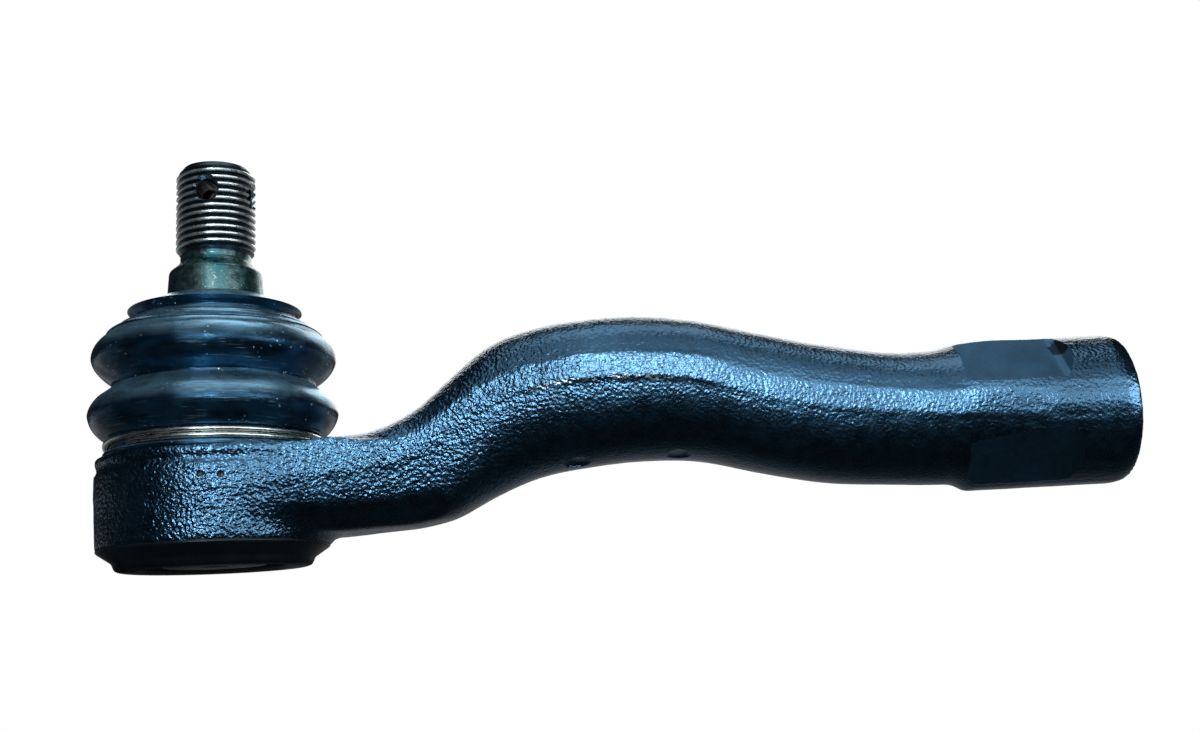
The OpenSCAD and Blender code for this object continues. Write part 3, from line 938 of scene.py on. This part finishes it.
# Outlines of the rubber, outside from bottom to top, then inside back down: radius and height
LOWER_OUTSIDE = [
    (20.4, 9.95), (21.6, 10.25), (22.7, 11.2), (23.8, 12.7), (24.4, 14.3), (24.42, 15.4), (23.9, 16.8), (22.9, 18.1),
    (21.6, 19.2), (20.5, 20.1), (20.05, 20.6), (20.0, 21.0),
]
LOWER_INSIDE = [
    (18.3, 21.0), (18.6, 20.0), (20.0, 18.5), (21.6, 16.9), (22.4, 15.4), (22.3, 14.2), (21.5, 12.8), (20.5, 11.6),
]
UPPER_OUTSIDE = [
    (20.0, 21.0), (20.1, 21.35), (20.8, 21.9), (22.0, 22.8), (23.2, 24.1), (23.9, 25.6), (23.95, 26.9), (23.5, 28.3),
    (22.7, 29.5), (21.7, 30.3), (21.3, 30.75),
]
UPPER_INSIDE = [
    (16.6, 32.0), (18.4, 30.9), (20.4, 29.2), (21.6, 27.6), (21.95, 26.2), (21.6, 24.9), (20.4, 23.4), (19.0, 22.1),
    (18.3, 21.0),
]


def live_rubber(points):
    """How far each point of the boot may stray: full on the folds, nothing where it is held."""
    height = points[:, 2]
    return step(10.5, 12.5, height) * (1 - step(31.5, 33.5, height)) * np.clip(np.abs(height - WAIST) / 1.2, 0, 1)


def build_boot(boot):
    rubber = [finish_named("dusty_rubber")]
    foot = rounded([
        (19.02, 9.2, 0.3), (19.02, BOOT_SEAT + 0.02, 0.1), (21.5, BOOT_SEAT + 0.02, 0.4), (21.5, 7.2, 0.3),
        (20.42, 7.5, 0.2), (20.42, 9.8, 0),
    ])
    lower = foot + list(flowing(LOWER_OUTSIDE, 5)) + list(flowing(LOWER_INSIDE, 4))
    lower += [(19.9, 11.1), (19.86, 9.7)]
    fold = turned("boot_lower", lower, rubber)
    roughen(fold, LOWER_FOLD_RIPPLE, live_rubber)
    lip = boot.lip_diameter / MM / 2
    bore = TAPER_SMALL + (TAPER_TOP - 36) * TAPER_RATE + 0.06
    shoulder = rounded([
        (21.3, 31.2, 0.25), (20.2, 31.75, 0.5), (19.2, 32.3, 0.5), (18.9, 33.1, 0.35), (16.6, 33.9, 0.3),
        (16.3, 34.6, 0.4), (lip - 0.5, 35.7, 0.3), (lip, 36.3, 0.12), (lip - 2.4, 37.3, 1.2), (bore + 1.1, 39.0, 0.5),
        (bore + 0.15, 39.2, 0.25), (bore, 38.6, 0.3), (bore + 0.25, 34.2, 0.4), (14.2, 33.0, 0.8),
    ], 6)
    upper = list(flowing(UPPER_OUTSIDE, 5)) + shoulder + list(flowing(UPPER_INSIDE, 4))
    crown = turned("boot_upper", upper, rubber)
    roughen(crown, UPPER_FOLD_RIPPLE, live_rubber)
    for piece in (fold, crown):
        shade(piece, 40)
    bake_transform(fold)
    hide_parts("boot_lower_fold")
    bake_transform(crown)
    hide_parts("boot_upper_fold", "boot_lip")
    return fold, crown


def build_clamp_ring(boot):
    ring = grow("clamp_ring_wire", wire_ring_tree(), {
        "Radius": 0.02097, "Low": 0.00810, "Climb": boot.wire_size * 1.08, "Wire width": boot.wire_size,
        "Wire height": boot.wire_size * 0.96, "Corner": 0.00046, "Start": boot.wire_end, "Sweep": math.radians(652),
        "Climb start": math.radians(292), "Climb end": math.radians(352), "Points": 420,
        "Material": finish_named("bright_wire"),
    })
    clean_up(ring)
    shade(ring, 40)
    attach(ring, "housing")
    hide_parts("boot_clamp_ring")
    return ring


# ---- Inside and under the barrel ----


def build_cover():
    rim = COVER_RADIUS - 0.02
    plate = turned("cover_plate_pressed", rounded([
        (0, COVER_TOP - 0.8, 0), (8.8, COVER_TOP - 0.8, 0.5), (9.9, COVER_TOP, 0.5), (rim, COVER_TOP, 0.15),
        (rim, -14.4, 0.15), (11.2, -14.4, 0.6), (9.9, -15.25, 0.6), (3.0, -15.25, 0.5), (2.2, -14.95, 0.5),
        (0, -14.95, 0),
    ]), [finish_named("turned_black")])
    shade(plate, 35)
    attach(plate, "housing")
    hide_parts("cover_plate")
    return plate


HIDDEN_FINISHES = {
    "stud_side_seat": "pale_resin", "cap_side_seat": "pale_resin", "disc_spring": "plain_steel",
    "cover_seal_ring": "black_rubber", "lip_insert_ring": "plain_steel",
}


def finish_inner_pieces():
    for node, finish in HIDDEN_FINISHES.items():
        for slot in frame["nodes"][node].material_slots:
            slot.material = finish_named(finish)


# ---- Stage ----


def floor_material(stage):
    """A pale floor that can't be seen from below. It fades to white far out, and its glow in reflections is set
    apart from its lit colour: dark in front of the part and bright behind it."""
    material = bpy.data.materials.new("Pale floor")
    material.use_nodes = True
    w = Wiring(material.node_tree)
    shader = material.node_tree.nodes["Principled BSDF"]
    where = w.add("ShaderNodeTexCoord").outputs["Object"]
    speckle = w.grain(where, 40.0, 3.0)
    w.feed(shader.inputs["Base Color"], w.mix(speckle, rgba(stage.floor_colour, 0.99), rgba(stage.floor_colour)))
    shader.inputs["Roughness"].default_value = 0.9
    parts = w.parts(where)
    x, y = w.minus(parts["X"], 0.08), parts["Y"]
    away = w.from_axis(x, y)
    white = w.add("ShaderNodeEmission", {"Color": WHITE, "Strength": 1.0})
    far = w.span(away, 0.16, 0.5)
    haze = w.add("ShaderNodeEmission", {"Color": WHITE, "Strength": 0.55})
    near = w.add("ShaderNodeAddShader", {0: shader.outputs[0], 1: haze.outputs[0]})
    lit = w.add("ShaderNodeMixShader", {0: far, 1: near.outputs[0], 2: white.outputs[0]})
    glow = w.plus(w.span(y, -0.012, 0.03, 0.0, 0.16), w.span(y, 0.05, 0.3, 0.0, stage.back_glow))
    mirrored = w.add("ShaderNodeEmission", {"Color": (1.0, 0.97, 0.92, 1), "Strength": glow})
    path = w.add("ShaderNodeLightPath").outputs
    bounced = w.calc("MAXIMUM", path["Is Glossy Ray"], path["Is Diffuse Ray"])
    top = w.add("ShaderNodeMixShader", {0: bounced, 1: lit.outputs[0], 2: mirrored.outputs[0]})
    clear = w.add("ShaderNodeBsdfTransparent")
    back = w.add("ShaderNodeNewGeometry").outputs["Backfacing"]
    both = w.add("ShaderNodeMixShader", {0: back, 1: top.outputs[0], 2: clear.outputs[0]})
    w.feed(material.node_tree.nodes["Material Output"].inputs["Surface"], both.outputs[0])
    return material


def plane(name, x_low, x_high, y_low, y_high, height, material):
    points = [(x_low, y_low, height), (x_high, y_low, height), (x_high, y_high, height), (x_low, y_high, height)]
    piece = new_piece(name, points, [[0, 1, 2, 3]], [material])
    piece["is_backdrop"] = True
    return piece


def soft_light(name, centre, aim, width, height, power, colour):
    """A rectangular light at centre, in metres, that faces aim."""
    lamp = bpy.data.lights.new(name, "AREA")
    lamp.shape = "RECTANGLE"
    lamp.size, lamp.size_y = width, height
    lamp.energy, lamp.color = power, colour
    holder = bpy.data.objects.new(name, lamp)
    bpy.context.scene.collection.objects.link(holder)
    holder.visible_camera = False
    holder.location = centre
    holder.rotation_euler = (Vector(aim) - Vector(centre)).to_track_quat("-Z", "Y").to_euler()
    return holder


# The surrounding light from straight down to straight up
SURROUND_STOPS = (
    (0.0, (0.06, 0.06, 0.06)), (0.47, (0.1, 0.11, 0.12)), (0.53, (0.30, 0.36, 0.42)), (0.75, (0.2, 0.26, 0.32)),
    (1.0, (0.08, 0.09, 0.1)),
)


def build_world(stage):
    world = bpy.data.worlds.new("Studio")
    bpy.context.scene.world = world
    world.use_nodes = True
    w = Wiring(world.node_tree)
    world.node_tree.nodes.clear()
    direction = w.add("ShaderNodeSeparateXYZ", {"Vector": w.add("ShaderNodeTexCoord").outputs["Generated"]})
    ramp = w.add("ShaderNodeValToRGB", {"Fac": w.span(direction.outputs["Z"], -1.0, 1.0)})
    elements = ramp.color_ramp.elements
    for number, (position, colour) in enumerate(SURROUND_STOPS):
        element = elements[number] if number < 2 else elements.new(position)
        element.position, element.color = position, rgba(colour)
    seen = w.add("ShaderNodeLightPath").outputs["Is Camera Ray"]
    surround = w.add("ShaderNodeBackground", {"Color": ramp.outputs[0], "Strength": stage.surround})
    white = w.add("ShaderNodeBackground", {"Color": WHITE, "Strength": 1.0})
    both = w.add("ShaderNodeMixShader", {0: seen, 1: surround.outputs[0], 2: white.outputs[0]})
    w.add("ShaderNodeOutputWorld", {"Surface": both.outputs[0]})


def build_camera(stage):
    """The camera: a little below the part, looking slightly up, with a slight roll."""
    data = bpy.data.cameras.new("Camera")
    camera = bpy.data.objects.new("Camera", data)
    bpy.context.scene.collection.objects.link(camera)
    data.sensor_fit = "HORIZONTAL"
    data.sensor_width = 36.0
    data.lens = stage.lens
    data.clip_start, data.clip_end = 0.01, 20.0
    yaw, pitch, roll = stage.camera_yaw, stage.camera_pitch, stage.camera_roll
    forward = Vector((math.sin(yaw) * math.cos(pitch), math.cos(yaw) * math.cos(pitch), math.sin(pitch)))
    level = Vector((math.cos(yaw), -math.sin(yaw), 0))
    upright = level.cross(forward)
    right = math.cos(roll) * level - math.sin(roll) * upright
    up = right.cross(forward)
    columns = Matrix((right, up, -forward)).transposed().to_4x4()
    camera.matrix_world = Matrix.Translation(stage.camera_place) @ columns
    bpy.context.scene.camera = camera


COOL, WARM = (0.92, 0.97, 1.0), (1.0, 0.96, 0.9)
MIDDLE = (0.08, 0.0, 0.01)
# Each light: name, centre, aim, width, height, share of the key power, colour
LIGHTS = (
    ("Key", (0.07, -0.92, 0.18), MIDDLE, 0.3, 0.18, 0.58, COOL),
    ("Wide", (0.35, -0.95, 0.3), MIDDLE, 1.1, 0.5, 0.62, COOL),
    ("Right", (0.82, -0.5, 0.16), (0.01, 0, 0), 0.55, 0.26, 0.6, COOL),
    ("Top", (0.1, -0.05, 0.9), MIDDLE, 0.8, 0.5, 0.4, COOL),
    ("Front", (0.15, -0.72, 0.72), MIDDLE, 1.1, 0.75, 0.4, COOL),
    ("Back", (0.1, 0.8, 0.45), MIDDLE, 1.0, 0.6, 0.9, WARM),
)


def build_stage(stage):
    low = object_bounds()[0].z / MM - 0.05
    plane("Floor", -6000, 6000, -6000, 6000, low, floor_material(stage))
    for name, centre, aim, width, height, share, colour in LIGHTS:
        soft_light(name, centre, aim, width, height, stage.key_power * share, colour)
    bpy.context.scene.view_settings.view_transform = "Standard"
    build_world(stage)
    build_camera(stage)


# ---- Settings ----


def amount(label, description, default, **limits):
    return FloatProperty(name=label, description=description, default=default, **limits)


def length(label, description, default, low, high):
    return amount(label, description, default, min=low, max=high, unit="LENGTH", precision=5)


def colour_setting(label, description, default):
    return FloatVectorProperty(
        name=label, description=description, default=default, size=3, min=0, max=1, subtype="COLOR"
    )


class TieRodBodySettings(bpy.types.PropertyGroup):
    """Sizes and paint of the forged body"""

    arm_length: length("Arm length", "Ball centre to the end of the arm", 0.183, 0.18, 0.19)
    socket_height: length("Socket height", "Height of the socket axis above the ball centre", 0.0068, 0.006, 0.0075)
    boss_diameter: length("Boss diameter", "Diameter of the round end", 0.03, 0.029, 0.031)
    end_rounding: length("End rounding", "Rounding of the edge at the end of the arm", 0.0038, 0.001, 0.004)
    flats: length("Flats", "Size across the wrench flats", 0.027, 0.0266, 0.028)
    socket_diameter: length("Socket diameter", "Tapping diameter of the socket", 0.0184, 0.0174, 0.0186)
    socket_depth: length("Socket depth", "Depth of the socket", 0.05, 0.045, 0.052)
    socket_pitch: length("Socket pitch", "Thread pitch of the socket", 0.0015, 0.001, 0.002)
    mesh_cell: length("Mesh cell", "Size of the cells the forging is meshed with", 0.00064, 0.0005, 0.001)
    grain_strength: amount("Grain", "Strength of the forged grain", 1.0, min=0, max=1)
    paint: colour_setting("Paint", "Colour of the body paint", (0.05, 0.14, 0.24))


class TieRodStudSettings(bpy.types.PropertyGroup):
    """Sizes and colours of the ball stud"""

    ball_diameter: length("Ball diameter", "Diameter of the ball", 0.026, 0.0256, 0.0262)
    neck_diameter: length("Neck diameter", "Diameter above the ball", 0.0146, 0.0136, 0.0146)
    thread_diameter: length("Thread diameter", "Major diameter of the stud thread", 0.016, 0.015, 0.0165)
    thread_pitch: length("Thread pitch", "Pitch of the stud thread", 0.0015, 0.001, 0.002)
    thread_base: length("Thread base", "Height where the thread starts", 0.0486, 0.048, 0.049)
    top: length("Top", "Height of the stud's end", 0.0672, 0.066, 0.07)
    pin_hole_diameter: length("Pin hole", "Diameter of the cotter pin holes", 0.0044, 0.0032, 0.0044)
    pin_hole_height: length("Pin hole height", "Height of the cotter pin holes", 0.061, 0.058, 0.062)
    steel: colour_setting("Steel", "Main colour of the stud", (0.03, 0.15, 0.18))
    bronze: colour_setting("Bronze", "Second colour of the stud's mottled finish", (0.16, 0.25, 0.24))


class TieRodBootSettings(bpy.types.PropertyGroup):
    """Sizes and colour of the dust boot and its ring"""

    lip_diameter: length("Lip diameter", "Outside of the sealing lip", 0.0346, 0.034, 0.036)
    wire_size: length("Wire size", "Thickness of the clamp ring's wire", 0.0011, 0.001, 0.0012)
    wire_end: amount("Wire end", "Where the wire's outer end stands", math.radians(236), subtype="ANGLE")
    # Dust also sets the strength of the painted sheen on the boot's up-facing folds.
    dust: amount("Dust", "Amount of dust and scuffs", 1.0, min=0, max=1)
    rubber: colour_setting("Rubber", "Colour of the boot", (0.013, 0.055, 0.105))


class TieRodStageSettings(bpy.types.PropertyGroup):
    """Floor, lights and camera"""

    floor_colour: colour_setting("Floor", "Colour of the floor", (0.86, 0.86, 0.85))
    key_power: amount("Key light", "Power of the main light in watts", 4, min=0)
    surround: amount("Surround", "Strength of the light from all round", 0.05, min=0)
    back_glow: amount("Back glow", "Brightness of the floor behind, in reflections", 0.35, min=0)
    lens: amount("Lens", "Focal length in millimetres", 39.66, min=10)
    camera_place: FloatVectorProperty(
        name="Camera place", description="Where the camera stands", default=(0.07525, -0.26542, -0.03141),
        subtype="TRANSLATION", unit="LENGTH", precision=5,
    )
    camera_yaw: amount("Yaw", "Camera turn to the right", math.radians(0.70), subtype="ANGLE")
    camera_pitch: amount("Pitch", "Camera tilt upwards", math.radians(11.24), subtype="ANGLE")
    camera_roll: amount("Roll", "Camera roll", math.radians(3.154), subtype="ANGLE")


# ---- Operators and panel ----


def shared_thread():
    return bpy.data.node_groups.get("Thread form") or thread_tree()


class TIEROD_OT_finishes(bpy.types.Operator):
    """Make the materials"""

    bl_idname = "tierod.finishes"
    bl_label = "Materials"

    def execute(self, context):
        scene = context.scene
        make_finishes(scene.tie_rod_body, scene.tie_rod_stud, scene.tie_rod_boot)
        return {"FINISHED"}


class TIEROD_OT_forged_body(bpy.types.Operator):
    """Build the forged arm with its barrel, wrench flats and threaded socket"""

    bl_idname = "tierod.forged_body"
    bl_label = "Forged body"

    def execute(self, context):
        build_forged_body(context.scene.tie_rod_body, shared_thread())
        return {"FINISHED"}


class TIEROD_OT_ball_stud(bpy.types.Operator):
    """Build the ball stud with its taper, thread and cotter pin holes"""

    bl_idname = "tierod.ball_stud"
    bl_label = "Ball stud"

    def execute(self, context):
        build_ball_stud(context.scene.tie_rod_stud, shared_thread())
        return {"FINISHED"}


class TIEROD_OT_boot(bpy.types.Operator):
    """Build the two folds and the sealing lip of the dust boot"""

    bl_idname = "tierod.boot"
    bl_label = "Dust boot"

    def execute(self, context):
        build_boot(context.scene.tie_rod_boot)
        return {"FINISHED"}


class TIEROD_OT_clamp_ring(bpy.types.Operator):
    """Wind the clamp ring from flat wire"""

    bl_idname = "tierod.clamp_ring"
    bl_label = "Clamp ring"

    def execute(self, context):
        build_clamp_ring(context.scene.tie_rod_boot)
        return {"FINISHED"}


class TIEROD_OT_cover(bpy.types.Operator):
    """Press the cover plate and finish the seats, spring and seals inside the barrel"""

    bl_idname = "tierod.cover"
    bl_label = "Cover and inner pieces"

    def execute(self, context):
        build_cover()
        finish_inner_pieces()
        return {"FINISHED"}


class TIEROD_OT_stage(bpy.types.Operator):
    """Set up the floor, lights and camera"""

    bl_idname = "tierod.stage"
    bl_label = "Stage"

    def execute(self, context):
        build_stage(context.scene.tie_rod_stage)
        return {"FINISHED"}


OPERATORS = (
    TIEROD_OT_finishes, TIEROD_OT_forged_body, TIEROD_OT_ball_stud, TIEROD_OT_boot, TIEROD_OT_clamp_ring,
    TIEROD_OT_cover, TIEROD_OT_stage,
)
SETTINGS = {
    "tie_rod_body": TieRodBodySettings,
    "tie_rod_stud": TieRodStudSettings,
    "tie_rod_boot": TieRodBootSettings,
    "tie_rod_stage": TieRodStageSettings,
}


class TIEROD_PT_panel(bpy.types.Panel):
    """Lists the settings and build steps of the tie rod end"""

    bl_idname = "TIEROD_PT_panel"
    bl_label = "Tie rod end"
    bl_space_type = "VIEW_3D"
    bl_region_type = "UI"
    bl_category = "Tie rod end"

    def draw(self, context):
        for group in SETTINGS:
            box = self.layout.box()
            settings = getattr(context.scene, group)
            for name in settings.__annotations__:
                box.prop(settings, name)
        for operator in OPERATORS:
            self.layout.operator(operator.bl_idname)


def register():
    for cls in (*SETTINGS.values(), *OPERATORS, TIEROD_PT_panel):
        bpy.utils.register_class(cls)
    for name, cls in SETTINGS.items():
        setattr(bpy.types.Scene, name, PointerProperty(type=cls))


def unregister():
    for name in SETTINGS:
        delattr(bpy.types.Scene, name)
    for cls in reversed((*SETTINGS.values(), *OPERATORS, TIEROD_PT_panel)):
        bpy.utils.unregister_class(cls)


def main():
    register()
    bpy.ops.tierod.finishes()
    bpy.ops.tierod.forged_body()
    bpy.ops.tierod.ball_stud()
    bpy.ops.tierod.boot()
    bpy.ops.tierod.clamp_ring()
    bpy.ops.tierod.cover()
    bpy.ops.tierod.stage()


if __name__ == "__main__":
    main()
